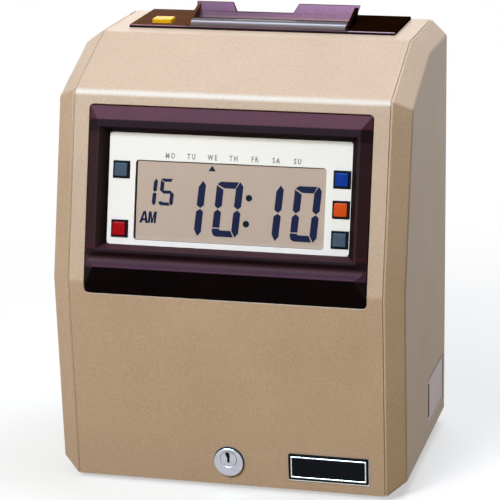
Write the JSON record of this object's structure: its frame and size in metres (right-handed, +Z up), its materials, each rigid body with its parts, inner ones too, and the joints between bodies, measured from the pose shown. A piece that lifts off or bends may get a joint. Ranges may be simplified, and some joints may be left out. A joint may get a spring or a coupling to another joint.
{
  "type": "time clock",
  "caption": "Desktop time recorder with a sloped hinged hood, framed clock display with push buttons, card throat on top, key lock and a card printing mechanism inside.",
  "frame": {"origin": "middle of the overall box at the underside of the feet", "axes": "+Z up, -Y towards the person who reads the display, +X to the right seen from the front"},
  "size_m": [0.23, 0.1708, 0.294],
  "materials": {
    "case": "fine textured satin",
    "dark_plastic": "satin",
    "black_plastic": "satin",
    "panel": "smooth",
    "display": "smooth",
    "grey_cap": "smooth",
    "red_cap": "smooth",
    "blue_cap": "smooth",
    "orange_cap": "smooth",
    "yellow_cap": "smooth",
    "bar_metal": "satin",
    "lock_metal": "bright",
    "rear_paint": "satin paint",
    "steel": "plain sheet",
    "rubber": "matt",
    "board": "solder mask",
    "winding": "enamelled wire",
    "brass": "turned",
    "gear_plastic": "moulded",
    "cell_wrap": "shrink wrap",
    "core_iron": "varnished laminations"
  },
  "bodies": {
    "chassis": {"base_plate": "steel", "rear_panel": "rear_paint", "left_cheek": "case", "right_cheek": "case", "access_cover": "case", "feet": "rubber", "rear_screws": "steel", "cheek_screws": "steel", "hinge_brackets": "steel", "hinge_pins": "steel", "power_inlet": "black_plastic", "transformer_core": "core_iron", "transformer_coil": "winding", "main_board": "board", "board_parts": "black_plastic", "battery_pack": "cell_wrap", "mech_plate_left": "steel", "mech_plate_right": "steel", "mech_shelf": "steel", "chute_front": "steel", "chute_rear": "steel", "platen_bar": "rubber", "carriage_rods": "steel", "feed_motor": "steel", "carriage_motor": "steel", "ribbon_cassette": "black_plastic", "ribbon_band": "black_plastic", "carriage_belt": "rubber"},
    "hood": {"front_cover": "case", "bezel": "dark_plastic", "display_panel": "panel", "lcd_module": "display", "display_frame": "black_plastic", "display_board": "board", "display_switches": "black_plastic", "button_frames": "black_plastic", "display_screws": "steel", "top_insert": "dark_plastic", "slot_bar": "bar_metal", "key_switch": "black_plastic", "lock_barrel": "lock_metal", "lock_nut": "brass", "nameplate": "black_plastic"},
    "lock_core": {"lock_core": "lock_metal"},
    "feed_roller": {"feed_shaft": "steel", "feed_tyres": "rubber", "feed_gear": "gear_plastic"},
    "pinch_roller": {"pinch_roller": "gear_plastic"},
    "motor_pinion": {"motor_pinion": "brass"},
    "carriage": {"print_carriage": "black_plastic", "print_head": "bar_metal"},
    "motor_pulley": {"motor_pulley": "bar_metal"},
    "idler_pulley": {"idler_pulley": "bar_metal"},
    "ribbon_knob": {"ribbon_knob": "blue_cap"},
    "button_grey_left": {"button_grey_left": "grey_cap"},
    "button_red": {"button_red": "red_cap"},
    "button_blue": {"button_blue": "blue_cap"},
    "button_orange": {"button_orange": "orange_cap"},
    "button_grey_right": {"button_grey_right": "grey_cap"},
    "yellow_key": {"yellow_key": "yellow_cap"}
  },
  "joints": [
    {"name": "hood_hinge", "type": "hinge", "parent": "chassis", "child": "hood", "pos_m": [0, 0.07563, 0.273], "axis": [-1, 0, 0], "range_deg": [0, 60]},
    {"name": "lock_turn", "type": "hinge", "parent": "hood", "child": "lock_core", "pos_m": [0, -0.07548, 0.02167], "axis": [0, 0.9982, 0.0594], "range_deg": [0, 90]},
    {"name": "feed_spin", "type": "hinge", "parent": "chassis", "child": "feed_roller", "pos_m": [0, 0.04003, 0.208], "axis": [1, 0, 0], "continuous": true},
    {"name": "pinch_spin", "type": "hinge", "parent": "chassis", "child": "pinch_roller", "pos_m": [0, 0.05543, 0.208], "axis": [1, 0, 0], "continuous": true},
    {"name": "pinion_spin", "type": "hinge", "parent": "chassis", "child": "motor_pinion", "pos_m": [0.072, 0.01383, 0.208], "axis": [1, 0, 0], "continuous": true},
    {"name": "carriage_slide", "type": "slide", "parent": "chassis", "child": "carriage", "axis": [1, 0, 0], "range_m": [-0.024, 0.024]},
    {"name": "motor_pulley_spin", "type": "hinge", "parent": "chassis", "child": "motor_pulley", "pos_m": [-0.046, 0.00228, 0.153], "axis": [0, 0, 1], "range_deg": [-240, 240]},
    {"name": "idler_spin", "type": "hinge", "parent": "chassis", "child": "idler_pulley", "pos_m": [0.046, 0.00228, 0.153], "axis": [0, 0, 1], "range_deg": [-240, 240]},
    {"name": "ribbon_knob_spin", "type": "hinge", "parent": "chassis", "child": "ribbon_knob", "pos_m": [-0.03, -0.02737, 0.181], "axis": [0, 0, 1], "continuous": true},
    {"name": "button_grey_left_press", "type": "slide", "parent": "hood", "child": "button_grey_left", "axis": [0, 0.9743, -0.2252], "range_m": [0, 0.001], "stiffness_N_per_m": 300, "springref_m": -0.0005},
    {"name": "button_red_press", "type": "slide", "parent": "hood", "child": "button_red", "axis": [0, 0.9743, -0.2252], "range_m": [0, 0.001], "stiffness_N_per_m": 300, "springref_m": -0.0005},
    {"name": "button_blue_press", "type": "slide", "parent": "hood", "child": "button_blue", "axis": [0, 0.9743, -0.2252], "range_m": [0, 0.001], "stiffness_N_per_m": 300, "springref_m": -0.0005},
    {"name": "button_orange_press", "type": "slide", "parent": "hood", "child": "button_orange", "axis": [0, 0.9743, -0.2252], "range_m": [0, 0.001], "stiffness_N_per_m": 300, "springref_m": -0.0005},
    {"name": "button_grey_right_press", "type": "slide", "parent": "hood", "child": "button_grey_right", "axis": [0, 0.9743, -0.2252], "range_m": [0, 0.001], "stiffness_N_per_m": 300, "springref_m": -0.0005},
    {"name": "yellow_key_press", "type": "slide", "parent": "hood", "child": "yellow_key", "axis": [0, 0, -1], "range_m": [0, 0.0015], "stiffness_N_per_m": 400, "springref_m": -0.0005}
  ],
  "couplings": [
    {"joint": "pinch_spin", "follows": "feed_spin", "ratio": -1.5},
    {"joint": "pinion_spin", "follows": "feed_spin", "ratio": -3.3333},
    {"joint": "motor_pulley_spin", "follows": "carriage_slide", "rad_per_m": -165.29},
    {"joint": "idler_spin", "follows": "carriage_slide", "rad_per_m": -165.29}
  ]
}
